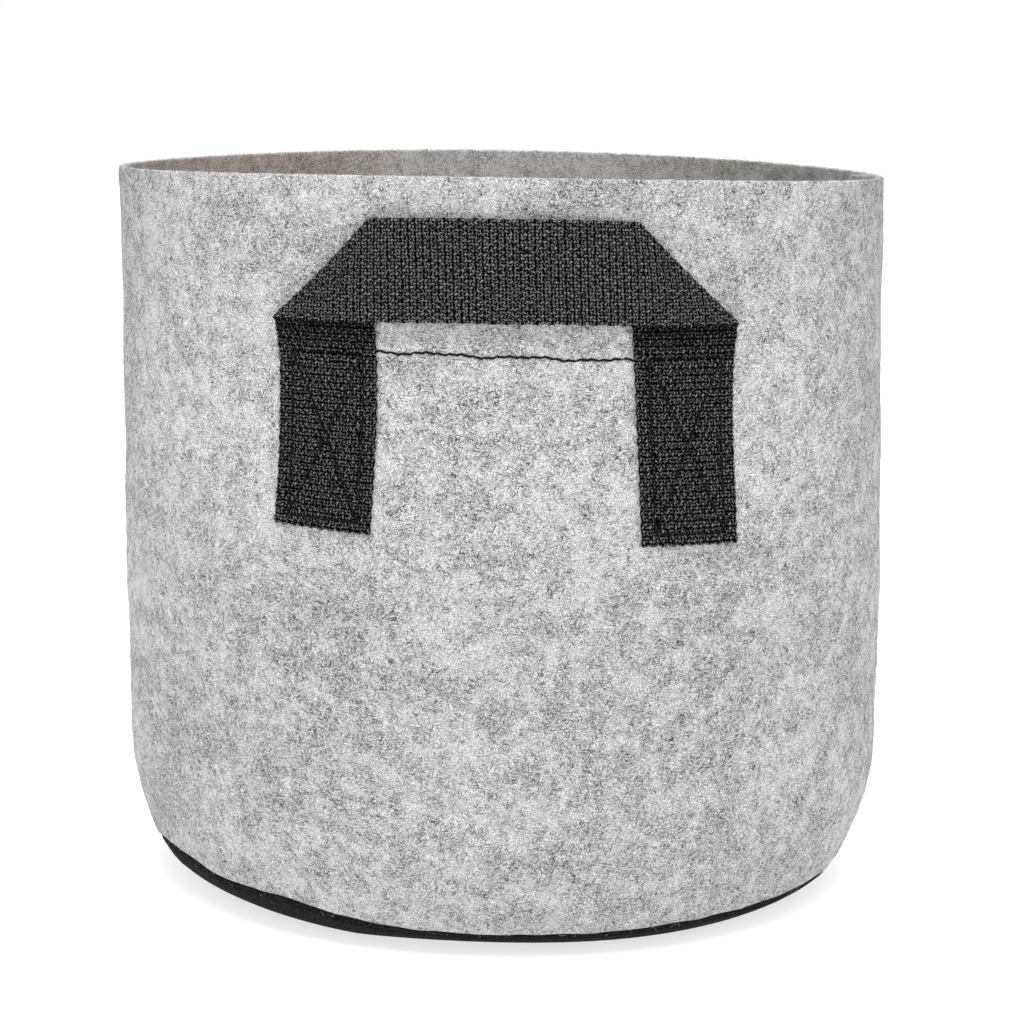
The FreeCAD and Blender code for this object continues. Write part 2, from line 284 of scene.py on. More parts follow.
# --- materials ----------------------------------
class Nodes:
    """Short names for building one material's node tree."""

    def __init__(self, name, roughness=0.9):
        self.material = bpy.data.materials.new(name)
        self.material.use_nodes = True
        self.tree = self.material.node_tree
        self.shader = self.tree.nodes["Principled BSDF"]
        self.set("Roughness", roughness)

    def set(self, socket, value):
        if hasattr(value, "is_linked"):
            self.tree.links.new(value, self.shader.inputs[socket])
        else:
            self.shader.inputs[socket].default_value = value

    def node(self, kind, **inputs):
        made = self.tree.nodes.new("ShaderNode" + kind)
        for key, value in inputs.items():
            if key in ("operation", "uv_map"):
                setattr(made, key, value)
                continue
            socket = made.inputs[int(key[1:])] if key[0] == "_" else made.inputs[key.replace("_", " ")]
            if hasattr(value, "is_linked"):
                self.tree.links.new(value, socket)
            else:
                socket.default_value = value
        return made

    def math(self, operation, a, b=0.0, c=0.0):
        return self.node("Math", operation=operation, _0=a, _1=b, _2=c).outputs[0]

    def times(self, a, b):
        return self.math("MULTIPLY", a, b)

    def times_plus(self, a, b, c):
        """The product of a and b, plus c."""
        return self.math("MULTIPLY_ADD", a, b, c)

    def spread(self, value, low, high, to_low=0.0, to_high=1.0):
        """A smooth step from to_low at low to to_high at high."""
        made = self.node("MapRange", Value=value)
        made.interpolation_type = "SMOOTHSTEP"
        numbers = {"From Min": low, "From Max": high, "To Min": to_low, "To Max": to_high}
        for key, number in numbers.items():
            made.inputs[key].default_value = number
        return made.outputs[0]

    def noise(self, vector, scale, detail=2.0, rough=0.5):
        made = self.node("TexNoise", Vector=vector, Scale=scale, Detail=detail, Roughness=rough)
        return made.outputs["Fac"]

    def mapped(self, vector, turn=0.0, scale=(1, 1, 1), move=(0, 0, 0)):
        """The vector turned, then divided by scale, so that scale is a size in metres."""
        made = self.node("Mapping", Vector=vector)
        made.vector_type = "TEXTURE"
        made.inputs["Rotation"].default_value = (0, 0, turn)
        made.inputs["Scale"].default_value = scale
        made.inputs["Location"].default_value = move
        return made.outputs[0]

    def mix(self, share, a, b):
        """The colour a, mixed towards b by a share from 0 to 1."""
        made = self.tree.nodes.new("ShaderNodeMix")
        made.data_type = "RGBA"
        for socket, value in ((made.inputs[0], share), (made.inputs[6], a), (made.inputs[7], b)):
            if hasattr(value, "is_linked"):
                self.tree.links.new(value, socket)
            else:
                socket.default_value = value
        return made.outputs[2]

    def bump(self, height, strength, distance):
        made = self.node("Bump", Height=height, Strength=strength, Distance=distance)
        self.set("Normal", made.outputs[0])


def grey(level, warmth=0.0):
    """Linear colour of an sRGB grey level from 0 to 255; warmth leans it to brown."""
    c = level / 255
    linear = c / 12.92 if c <= 0.04045 else ((c + 0.055) / 1.055) ** 2.4
    return (linear * (1 + warmth), linear, linear * (1 - warmth), 1)


def fibre_layers(nodes, vector, turns, length, width, seed):
    """How strongly fibres lie over a point: streaks of noise at several angles, curled."""
    curl = nodes.node("TexNoise", Vector=vector, Scale=140.0, Detail=1.0)
    curl_offset = nodes.node("VectorMath", operation="MULTIPLY_ADD", _0=curl.outputs["Color"],
                             _1=(FIBRE_CURL, FIBRE_CURL, 0.0), _2=vector)
    total = None
    for index, turn in enumerate(turns):
        lay = nodes.mapped(curl_offset.outputs[0], math.radians(turn), (length, width, 1),
                           (0.37 * index + seed, 0.13 * index, 0))
        streak = nodes.noise(lay, 1.0, 1.0)
        total = streak if total is None else nodes.math("MAXIMUM", total, streak)
    return total


def felt_material(name, light, mid, dark, contrast, gloss, light_and_shade=None):
    """Needle-punched felt: pale and dark fibres laid at all angles, in cloudy patches."""
    nodes = Nodes(name, 0.95)
    uv = nodes.node("UVMap", uv_map="cloth").outputs[0]
    dark_fibres = fibre_layers(nodes, uv, turns=(8, 55, 101, 160),
                               length=2.4 * MM, width=0.40 * MM, seed=0)
    pale_fibres = fibre_layers(nodes, uv, turns=(30, 80, 135, 172),
                               length=2.6 * MM, width=0.42 * MM, seed=2.0)
    clumps = nodes.noise(uv, scale=230.0, detail=3.0, rough=0.6)
    patches = nodes.noise(uv, scale=90.0, detail=3.0, rough=0.6)
    broad = nodes.noise(uv, scale=22.0, detail=2.0)
    grain = nodes.noise(uv, scale=2300.0, detail=0.0)
    cloud = nodes.times_plus(clumps, 0.38, nodes.times(patches, 0.40))
    cloud = nodes.times_plus(broad, 0.22, cloud)
    cloud = nodes.spread(cloud, 0.37, 0.61)
    ground = nodes.mix(cloud, grey(light), grey(mid))
    pale_share = nodes.times(nodes.spread(pale_fibres, 0.54, 0.70), 0.8)
    ground = nodes.mix(pale_share, ground, grey(min(light + 30, 254)))
    laid = nodes.times(nodes.spread(dark_fibres, 0.55, 0.71), contrast)
    laid = nodes.times(laid, nodes.times_plus(cloud, 0.55, 0.45))
    ground = nodes.mix(laid, ground, grey(dark))
    speckle = nodes.spread(grain, 0.25, 0.75, 0.63, 1.29)
    tint = nodes.node("VectorMath", operation="SCALE", _0=ground, Scale=speckle).outputs[0]
    if light_and_shade:
        tint = light_and_shade(nodes, uv, tint, patches)
    nodes.set("Base Color", tint)
    height = nodes.math("SUBTRACT", pale_fibres, nodes.times(dark_fibres, 0.9))
    nodes.bump(nodes.times_plus(grain, 0.3, height), 0.6, 0.6 * MM)
    nodes.set("Specular IOR Level", gloss)
    return nodes.material


def wall_painted_light(nodes, uv, colour, patches):
    """Painted light and shade on the wall: lighter round the handles, darker at the sides towards the
    rim, and on the inner face darker, flatter and tinted: brown at the left, green-grey at the right.
    """
    split = nodes.node("SeparateXYZ", Vector=uv)
    run, up = split.outputs["X"], split.outputs["Y"]
    inner = nodes.spread(up, INNER_FACE, INNER_FACE + 1.5 * MM)
    # The side seam's turned-in edges take the inner face's painted shade too.
    for edge, further in ((-2 * MM, -4 * MM), (TAU * RADIUS + 2 * MM, TAU * RADIUS + 4 * MM)):
        inner = nodes.math("MAXIMUM", inner, nodes.spread(run, edge, further))
    around = nodes.times(run, 1 / RADIUS)
    sideways = nodes.math("COSINE", around)
    to_side = nodes.math("ABSOLUTE", sideways)
    # Painted light round the handles and painted shade at the sides towards the rim, multiplied into the
    # felt's colour.
    painted_light_pool = nodes.times(nodes.spread(to_side, 0.65, 0.95, 1.0, 0.0), nodes.spread(up, *LIGHT_POOL_IN))
    painted_light_pool = nodes.times(painted_light_pool, nodes.spread(up, *LIGHT_POOL_OUT, 1.0, 0.3))
    painted_side_shade = nodes.times(nodes.spread(to_side, 0.7, 0.97), nodes.spread(up, *SIDE_SHADE_IN))
    painted_light_factor = nodes.times_plus(painted_light_pool, PAINTED_LIGHT_CHANGE, nodes.times_plus(painted_side_shade, -PAINTED_LIGHT_CHANGE, 1.0))
    colour = nodes.node("VectorMath", operation="SCALE", _0=colour, Scale=painted_light_factor).outputs[0]
    # Painted shade on the inner face: darker at the sides, tinted brown at the left and green-grey at
    # the right, in uneven patches; slightly lighter and warmer in between.
    uneven = nodes.spread(patches, 0.3, 0.7, 0.6, 1.0)
    brown = nodes.times(nodes.spread(sideways, -0.15, -0.75), uneven)
    green = nodes.times(nodes.spread(sideways, 0.15, 0.75), uneven)
    shade = nodes.mix(brown, (1.05, 1.01, 0.98, 1), (0.95, 0.78, 0.70, 1))
    shade = nodes.mix(green, shade, (0.68, 0.69, 0.63, 1))
    shade = nodes.mix(inner, (1, 1, 1, 1), shade)
    # The inner face's colour is also pulled towards a darker grey with less contrast: painted shade.
    softer = nodes.mix(nodes.times(inner, 0.32), colour, grey(170))
    return nodes.node("VectorMath", operation="MULTIPLY", _0=softer, _1=shade).outputs[0]


def webbing_material():
    """Black woven polypropylene: glossy yarns that rise over two wefts and dive under two."""
    nodes = Nodes("black_webbing", 0.4)
    place = nodes.node("UVMap", uv_map="cloth").outputs[0]
    jitter = nodes.node("TexNoise", Vector=place, Scale=420.0, Detail=1.0)
    shake = nodes.node("VectorMath", operation="MULTIPLY_ADD", _0=jitter.outputs["Color"],
                       _1=YARN_SHAKE, _2=place)
    split = nodes.node("SeparateXYZ", Vector=shake.outputs[0])
    end = nodes.math("DIVIDE", nodes.math("SUBTRACT", split.outputs["Y"], YARN_SHAKE[1] / 2), END_PITCH)
    odd = nodes.math("MODULO", nodes.math("FLOOR", end), 2.0)
    across = nodes.math("SUBTRACT", nodes.math("FRACT", end), 0.5)
    drift = nodes.spread(nodes.noise(place, scale=28.0, detail=1.0), 0.3, 0.7, *SLANT_DRIFT)
    slant = nodes.times(across, nodes.times_plus(odd, 2 * YARN_SLANT, -YARN_SLANT))
    slant = nodes.times(slant, drift)
    turn = nodes.math("SUBTRACT", split.outputs["X"], YARN_SHAKE[0] / 2)
    turn = nodes.times(turn, TAU / WEAVE_REPEAT)
    phase = nodes.times_plus(odd, math.pi, turn)
    rise = nodes.math("COSINE", phase)
    plies = nodes.math("COSINE", nodes.math("ADD", nodes.times(phase, 3.0), slant))
    crown = nodes.spread(nodes.math("ABSOLUTE", across), 0.5, 0.2)
    crest = nodes.times(crown, nodes.spread(rise, -1.15, 0.5))
    bead = nodes.times(crest, nodes.spread(plies, 0.6, -0.75))
    bead = nodes.times(bead, nodes.times_plus(odd, -0.25, 1.0))
    filament = nodes.noise(nodes.mapped(place, 0.35, (1.1 * MM, 0.12 * MM, 1)), 1.0, 1.0)
    # Uneven shine: varies the painted sheen and the roughness at random.
    uneven_shine = nodes.noise(place, 330.0, 3.0)
    weft = nodes.spread(nodes.math("COSINE", nodes.times(turn, 4.0)), 0.2, -0.9)
    weft = nodes.times(nodes.spread(rise, 0.1, -0.7), weft)
    # The sheen is a painted highlight: it lightens the base colour from near black, as well as raising
    # the specular level.
    sheen = nodes.times_plus(crest, CREST_SHINE, nodes.times(bead, BEAD_SHINE))
    sheen = nodes.times_plus(weft, WEFT_SHINE, sheen)
    sheen = nodes.times(sheen, nodes.spread(uneven_shine, 0.3, 0.7, 0.78, 1.18))
    # Painted glints: random light and dark specks in the sheen.
    for scale, low in ((900.0, 0.55), (1800.0, 0.35)):
        glint = nodes.spread(nodes.noise(place, scale, 0.0), 0.25, 0.75, low, 2 - low)
        sheen = nodes.times(sheen, glint)
    # Painted shade: the face that the legs show gets less sheen than the grip's.
    sheen = nodes.times(sheen, nodes.spread(split.outputs["X"], *FACE_SPLIT, *FACE_SHINE))
    # Painted shadow: less sheen where the grip's fold overhangs the top of a leg, and inside the fold.
    from_middle = nodes.math("ABSOLUTE", nodes.node("SeparateXYZ", Vector=place).outputs["X"])
    below_fold = nodes.spread(from_middle, LEG_OUT + 2 * MM, LEG_OUT + 16 * MM, FOLD_SHADE, 1.0)
    inside_fold = nodes.spread(from_middle, LEG_OUT - 30 * MM, LEG_OUT - 42 * MM, FOLD_SHADE, 1.0)
    fold_shadow = nodes.math("MAXIMUM", below_fold, inside_fold)
    sheen = nodes.times(nodes.times_plus(sheen, SHINE_GAIN, SHINE_OFFSET), fold_shadow)
    sheen = nodes.math("MAXIMUM", sheen, 0.0)
    lit = nodes.math("MINIMUM", sheen, 1.0)
    nodes.set("Base Color", nodes.mix(lit, grey(1), grey(85)))
    nodes.set("Roughness", nodes.spread(uneven_shine, 0.2, 0.8, 0.32, 0.46))
    nodes.set("Specular IOR Level", nodes.times(sheen, 0.9))
    nodes.bump(nodes.times_plus(filament, 0.5, bead), 0.6, 0.2 * MM)
    return nodes.material


def thread_material():
    """Black polyester thread, its two plies twisted together."""
    nodes = Nodes("black_thread", 0.6)
    nodes.set("Specular IOR Level", 0.15)
    place = nodes.node("UVMap", uv_map="cloth").outputs[0]
    split = nodes.node("SeparateXYZ", Vector=place)
    round_it = nodes.times(split.outputs["Y"], 2 * TAU)
    twist = nodes.times_plus(split.outputs["X"], TAU / THREAD_TWIST, round_it)
    # Painted highlight along each ply, lightening the base colour; the same pattern gives the bump.
    lit = nodes.spread(nodes.math("SINE", twist), -1.0, 1.0)
    nodes.set("Base Color", nodes.mix(lit, grey(2), grey(9)))
    nodes.bump(lit, 0.5, 0.1 * MM)
    return nodes.material


def fibre_material(name, level):
    """One loose fibre's plain shine; it is too thin to show more."""
    nodes = Nodes(name, 0.6)
    nodes.set("Base Color", grey(level))
    nodes.set("Specular IOR Level", 0.3)
    return nodes.material


GREY_FELT = felt_material("grey_felt", light=199, mid=152, dark=44, contrast=1.0, gloss=0.2,
                          light_and_shade=wall_painted_light)
BLACK_FELT = felt_material("black_felt", light=24, mid=17, dark=7, contrast=0.8, gloss=0.08)
WEBBING = webbing_material()
THREAD = thread_material()
PALE_FIBRE = fibre_material("pale_fibre", 225)
DARK_FIBRE = fibre_material("dark_fibre", 70)


# --- wall and base ------------------------------
def bend_path(first, second, count):
    """Points of a quarter turn between two corners given as (along, depth) pairs."""
    t = np.linspace(0, math.pi / 2, count)
    along = first[0] + (second[0] - first[0]) * (1 - np.cos(t))
    depth = first[1] + (second[1] - first[1]) * np.sin(t)
    return np.stack([along, depth], -1)


def wall_columns(count=330):
    """Round-the-bag places of the wall's columns, outside and inside, with turned-in ends."""
    gap, outer_bend, inner_bend = 0.04 * MM, 2.0 * MM, 0.7 * MM
    around = TAU * RADIUS
    depth = np.linspace(1, 0, 5)[:-1]
    outer_depth = outer_bend + depth * (SIDE_ALLOWANCE + FELT - outer_bend)
    inner_depth = inner_bend + depth * (SIDE_ALLOWANCE - inner_bend)
    outer_end = np.stack([gap + 0 * depth, outer_depth], -1)
    inner_end = np.stack([gap + FELT + 0 * depth, inner_depth], -1)
    outer_turn = bend_path((gap, outer_bend), (gap + outer_bend, 0), 6)
    inner_turn = bend_path((gap + FELT, inner_bend), (gap + FELT + inner_bend, 0), 6)
    columns = []
    for end, turn in ((outer_end, outer_turn), (inner_end, inner_turn)):
        start = np.concatenate([end, turn])
        middle = np.linspace(start[-1][0], around - start[-1][0], count)[1:-1]
        ring = np.stack([middle, 0 * middle], -1)
        finish = start[::-1] * [-1, 1] + [around, 0]
        columns.append(np.concatenate([start, ring, finish]))
    return columns


def dense_rows(low, high, step, focus, fine_step, reach):
    """Values from low to high in steps, finer within reach of the focus."""
    coarse = np.arange(low, high, step)
    coarse = coarse[abs(coarse - focus) > reach + step / 2]
    fine = np.arange(focus - reach, focus + reach + fine_step / 2, fine_step)
    return np.sort(np.concatenate([coarse, fine]))


def arc_height(z):
    """Arc length of a height on the upright wall."""
    return WALL_FOOT + z - ROLL_Z


def cross_line(arc):
    """Height of the line of stitching between the legs, by distance from the handle's middle."""
    reach = LEG_OUT - STRAP_WIDTH
    wander = 0.35 * np.sin(arc / (5.1 * MM)) + 0.25 * np.sin(arc / (2.3 * MM) + 2)
    return CROSS_Z + (0.2 + wander - 1.1 * arc / reach) * MM


def stitch_dent(angle, s):
    """How far the line of stitching between the legs pulls the felt in."""
    arc = ((angle + math.pi / 2) % math.pi - math.pi / 2) * RADIUS - HANDLE_SHIFT
    across = np.exp(-((s - arc_height(cross_line(arc))) / CROSS_DENT_WIDTH) ** 2)
    between = 1 / (1 + np.exp((abs(arc) - CROSS_DENT_REACH) / (2 * MM)))
    pull = 0.75 + 0.25 * np.cos(TAU * arc / CROSS_STITCH)
    return CROSS_DENT * across * between * pull


def wall_piece():
    """The wall: outside from the turned-in base edge up, over the cut rim, and down the inside."""
    outer, inner = wall_columns()
    gap, bend = 0.05 * MM, 1.7 * MM
    inner_foot = FELT + 0.8 * MM
    top = RIM - FLAT - TURN_UP
    body = dense_rows(bend + 2 * MM, top - 1.5 * MM, 2.9 * MM,
                      arc_height(CROSS_Z) - FLAT - TURN_UP, 0.55 * MM, 3.3 * MM)
    turn = bend_path((gap, bend), (gap + bend, 0), 6)
    rows = [(gap, -BASE_ALLOWANCE), (gap, -(BASE_ALLOWANCE + bend) / 2)]
    rows += [(along, -depth) for along, depth in turn]
    rows += [(value, 0) for value in body]
    rim = [(-0.9, 0), (-0.35, -0.08), (-0.05, -0.4), (0, -0.9), (0.04, -1.5), (0, -2.1),
           (-0.05, -2.6), (-0.35, -2.92), (-0.9, -3.0)]     # rounded cut edge, in mm
    rows += [(top + along * MM, lift * MM) for along, lift in rim]
    rows += [(value, -FELT) for value in body[::-1]]
    rows += [(inner_foot - along * 0.4, -FELT - depth * 0.4) for along, depth in turn]
    rows += [(FELT, -(BASE_ALLOWANCE + FELT) / 2 - MM), (FELT, -BASE_ALLOWANCE)]
    rows = np.array(rows)
    along, lift = rows[:, 0][:, None], rows[:, 1][:, None]
    inside = np.clip(-lift / FELT, 0, 1)
    tuck = np.clip((along - 12 * MM) / (14 * MM), 0, 1)
    tuck = tuck * np.clip((top + 11 * MM - along) / (14 * MM), 0.7, 1)
    w = outer[:, 0] * (1 - inside) + inner[:, 0] * inside
    depth = (outer[:, 1] * (1 - inside) + inner[:, 1] * inside)
    depth = np.minimum(depth, 2 * MM + (depth - 2 * MM) * tuck)
    angle = SIDE_SEAM + w / RADIUS
    seam = seam_at(angle)
    above = np.clip(along / top, 0, 1)
    s = along + seam * (1 - above) + (FLAT + TURN_UP) * above
    cut = 0.22 * MM * waves(angle, (57, 91, 133, 171), 8, 0.9)
    s = s + cut * np.clip(1 - abs(along - top) / (3 * MM), 0, 1)
    points = skin(angle, s, lift - stitch_dent(angle, s) - depth)
    count = points.shape[1]
    length = np.concatenate([[0], np.cumsum(np.hypot(*np.diff(rows, axis=0).T))])
    turned_in = depth * np.sign(np.arange(count) - count / 2)
    uv = np.stack([w + turned_in, length[:, None] + 0 * w], -1)
    quads = grid_quads(len(rows), count)
    last = (len(rows) - 1) * count
    c = np.arange(count - 1)
    tip = np.stack([last + c, last + c + 1, c + 1, c], -1)
    r = np.arange(len(rows) // 2 - 1)
    mirror = len(rows) - 1 - r
    first_end = np.stack([r, r + 1, mirror - 1, mirror], -1) * count
    other_end = np.stack([mirror, mirror - 1, r + 1, r], -1) * count + count - 1
    faces = np.concatenate([quads, tip, first_end, other_end])
    return mesh_object("wall_felt", points.reshape(-1, 3), faces, GREY_FELT, uv.reshape(-1, 2))


def base_piece(columns=300):
    """The base: underside, turned-up edge and allowance, then back down and over the inside."""
    gap, bend = 0.05 * MM, 1.7 * MM
    inside = []
    angle = (np.arange(columns) / columns * TAU)[None, :]
    seam = seam_at(angle)
    rings = 1 - (1 - np.linspace(0, 1, 19)[1:, None]) ** 1.5     # closer together towards the heel
    flat = rings * (FLAT - 1 * MM) + 0 * angle
    rise = np.linspace(0, 1, 12)[:, None]
    outer_rise = FLAT - MM + (seam - gap - bend - FLAT + MM) * rise[1:]
    outside = [(flat, 0 * flat), (outer_rise, 0 * outer_rise)]
    turn = bend_path((0, bend), (bend, 0), 6)[::-1]
    outside.append((seam - gap - turn[:, :1], -turn[:, 1:] + 0 * angle))
    turned_in = ((seam - gap, (-0.5, -1.0), outside), (seam - FELT, (-1.0, -0.62), inside))
    for place, shares, side in turned_in:
        depth = BASE_ALLOWANCE * np.array(shares)[:, None] + 0 * angle
        side.append((place + 0 * depth, depth))
    inner_low = seam - FELT - 0.8 * MM
    inside.append((FLAT - MM + (inner_low - FLAT + MM) * rise[::-1][:-1], -FELT + 0 * rise[:-1] * angle))
    inside.append((flat[::-1], -FELT + 0 * flat))
    s = np.concatenate([part[0] for part in outside + inside])
    lift = np.concatenate([part[1] for part in outside + inside])
    points = skin(angle + 0 * s, s, lift)
    rows = len(s)
    uv = np.stack([s * np.sin(angle), s * np.cos(angle) + 1.0 * (lift < -0.5 * FELT)], -1)
    centre = rows * columns
    c = np.arange(columns)
    under = np.stack([(c + 1) % columns, c, 0 * c + centre], -1)
    last = (rows - 1) * columns
    over = np.stack([last + c, last + (c + 1) % columns, 0 * c + centre + 1], -1)
    points = np.concatenate([points.reshape(-1, 3), [[0, 0, 0], [0, 0, FELT]]])
    uv = np.concatenate([uv.reshape(-1, 2), [[0, 0], [0, 1.0]]])
    faces = [grid_quads(rows, columns, wrap=True), np.concatenate([under, over])]
    return mesh_object("base_felt", points, faces, BLACK_FELT, uv)


wall = wall_piece()
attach(wall, "bag")
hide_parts("wall_panel")
base = base_piece()
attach(base, "bag")
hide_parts("base_panel")


# --- handles ------------------------------------
def strap_place(along, across):
    """Arc, height and lift of the strap's middle layer; along runs from a leg's cut end to mid-grip."""
    outer = -LEG_OUT
    arc = -LEG_CENTRE + across
    height = along - LEG_LENGTH
    past = (height - (arc - outer)) / math.sqrt(2)
    along_crease = (height + (arc - outer)) / math.sqrt(2)
    half_bend = math.pi * FOLD_RADIUS / 2
    bent = np.clip(past, -half_bend, half_bend) + half_bend
    folded = np.where(past < -half_bend, past, FOLD_RADIUS * np.sin(bent / FOLD_RADIUS) - half_bend)
    folded = np.where(past > half_bend, -past, folded)
    lift = FOLD_RADIUS * (1 - np.cos(bent / FOLD_RADIUS))
    return outer + (along_crease - folded) / math.sqrt(2), (along_crease + folded) / math.sqrt(2), lift


def box_stitching():
    """Corners of a leg's box and cross, as (along, across) pairs, in the order they are sewn."""
    low, high = BOX_FOOT, SEWN
    side = STRAP_WIDTH / 2 - BOX_INSET
    return [(low, -side), (high, -side), (high, side), (low, side), (low, -side),
            (high, side), (high, -side), (low, side)]


def near_line(along, across, start, end):
    """Distance from points of the strap to a stitched line."""
    run = (end[0] - start[0], end[1] - start[1])
    length = math.hypot(*run)
    share = ((along - start[0]) * run[0] + (across - start[1]) * run[1]) / length ** 2
    share = np.clip(share, 0, 1)
    return np.hypot(along - start[0] - share * run[0], across - start[1] - share * run[1])


def sewn_dent(along, across):
    """How far the box stitching pulls the strap down."""
    corners = box_stitching()
    nearest = np.full(np.broadcast(along, across).shape, 1.0)
    for start, end in zip(corners, corners[1:]):
        nearest = np.minimum(nearest, near_line(along, across, start, end))
    return BOX_DENT * np.exp(-(nearest / BOX_DENT_WIDTH) ** 2)


def strap_on_bag(along, across, half, facing):
    """Angle, height and lift of the strap's middle; half is -1 for the left leg, 1 for the right."""
    spread, bow, lean, outer_drop, inner_drop, flare = LEG_SHAPE[half]
    arc, height, lift = strap_place(along, across)
    up = np.clip(height, 0, None) * SPAN_HEIGHT / STRAP_WIDTH
    down = np.clip(-height, 0, None)
    low = np.clip(down / LEG_LENGTH, 0, 1)
    inner_side = np.clip((arc + LEG_OUT) / STRAP_WIDTH, 0, 1)
    drop = (outer_drop + (inner_drop - outer_drop) * inner_side) * MM
    z = FOLD_Z + up - down * (1 + drop / LEG_LENGTH)
    leg = np.clip(down / LEG_EASE, 0, 1)
    arc = arc + (LEG_STEP * leg + bow * np.sin(math.pi * low ** 0.75) - lean * low) * MM
    arc = arc + (spread - 1) * leg * (arc + LEG_CENTRE)
    free = np.clip((z - CROSS_Z) / FREE_EASE, 0, 1)
    layer = np.clip(lift / (2 * FOLD_RADIUS), 0, 1)
    arc = arc + flare * MM * inner_side * np.exp(-abs(height) / FLARE_REACH) * (1 - layer)
    from_crease = (arc + LEG_OUT - up) / math.sqrt(2)
    along_crease = np.clip(up / SPAN_HEIGHT, 0, 1)
    inset = CREASE_BOW * np.sin(math.pi * along_crease) + CREASE_INSET * along_crease
    arc = arc + inset * np.exp(-(from_crease / CREASE_REACH) ** 2)
    middle = np.cos(np.clip(arc / LEG_OUT, -1, 1) * math.pi / 2) ** 2
    share = np.clip(up / SPAN_HEIGHT, 0, 1)
    sag = SPAN_SAG * middle * layer * (1 - 0.6 * share)
    curl = SPAN_CURL * layer * np.cos(share * TAU)
    edge_wave = EDGE_WAVE * layer * middle * np.cos(5.3 * arc / LEG_OUT + 1.1)
    stand = STRAP / 2 + 0.15 * MM + free * 0.4 * MM + lift + sag + curl - sewn_dent(along, across)
    place = -half * arc + HANDLE_SHIFT - SPAN_LEAN * share
    return facing + place / RADIUS, z + edge_wave, stand


def strap_surface(along, across, half, facing):
    """Points of the strap's middle layer."""
    angle, z, stand = strap_on_bag(along, across, half, facing)
    return skin(angle, arc_height(z), stand)


def weave(along, across):
    """Height of the woven surface, where each yarn goes over two wefts and dives under two."""
    place = (across + STRAP_WIDTH / 2) / END_PITCH
    end = np.floor(place + 1e-6)
    crown = np.sqrt(np.clip(1 - (2 * (place - end) - 1) ** 2, 0, 1))
    turn = TAU * along / WEAVE_REPEAT + math.pi * end
    lifted = 0.5 + 0.6 * (np.cos(turn) - 0.33 * np.cos(3 * turn))
    return crown * (YARN_CROWN[0] + YARN_CROWN[1] * lifted) * MM


def strap_face(along, across, half, facing, front):
    """Points of one face of half a strap, woven surface and all."""
    a, b = along[:, None] + 0 * across, across + 0 * along[:, None]
    step = 0.03 * MM            # for the slopes that give the normal
    ragged = 0.28 * MM * np.sin(37 * np.arange(len(across))) * np.clip(1 - a / (2 * MM), 0, 1)
    scallop = 0.22 * MM * np.sin(TAU * a / WEAVE_REPEAT) * np.clip(abs(b) / MM - 17.5, 0, 1) * np.sign(b)
    mid = strap_surface(a + ragged, b + scallop, half, facing)
    d_along = strap_surface(a + step, b, half, facing) - strap_surface(a - step, b, half, facing)
    d_across = strap_surface(a, b + step, half, facing) - strap_surface(a, b - step, half, facing)
    normal = np.cross(d_across, d_along) * -half
    normal /= np.linalg.norm(normal, axis=-1, keepdims=True)
    edge = 1 - 0.45 * np.clip(1 - (STRAP_WIDTH / 2 - abs(b)) / (0.7 * MM), 0, 1)
    phase = a - STRAP_HALF + (0 if front else WEAVE_REPEAT / 2)
    out = (STRAP / 2 - 0.3 * MM + weave(phase, b)) * edge
    return mid + normal * (out if front else -out)[..., None]


def whole_face(along, across, facing, front):
    """A strap's face from one cut end to the other, and its cloth map."""
    halves = [strap_face(along, across, half, facing, front) for half in (-1, 1)]
    points = np.concatenate([halves[0], halves[1][::-1][1:]])
    total = np.concatenate([along, 2 * STRAP_HALF - along[::-1][1:]]) - STRAP_HALF
    u = total + (0 if front else BACK_FACE)
    uv = np.stack([u[:, None] + 0 * across, across + STRAP_WIDTH / 2 + 0 * u[:, None]], -1)
    return points, uv


def handle_piece(name, facing):
    """A whole strap: both woven faces, joined along its two edges and its two cut ends."""
    across = np.linspace(-STRAP_WIDTH / 2, STRAP_WIDTH / 2, WARP_ENDS * COLUMNS_PER_END + 1)
    along = np.linspace(0, STRAP_HALF, round(STRAP_HALF / WEAVE_REPEAT * ROWS_PER_REPEAT) + 1)
    front, front_uv = whole_face(along, across, facing, True)
    back, back_uv = whole_face(along, across, facing, False)
    rows, columns = front.shape[:2]
    size = rows * columns
    grid = np.arange(size).reshape(rows, columns)
    rim = np.concatenate([grid[:, 0], grid[-1, 1:], grid[-2::-1, -1], grid[0, -2:0:-1]])
    ahead = np.roll(rim, -1)
    sides = np.stack([rim, ahead, ahead + size, rim + size], -1)
    quads = grid_quads(rows, columns)
    faces = np.concatenate([quads, quads[:, ::-1] + size, sides])
    points = np.concatenate([front.reshape(-1, 3), back.reshape(-1, 3)])
    uv = np.concatenate([front_uv.reshape(-1, 2), back_uv.reshape(-1, 2)])
    return mesh_object(name, points, faces, WEBBING, uv)


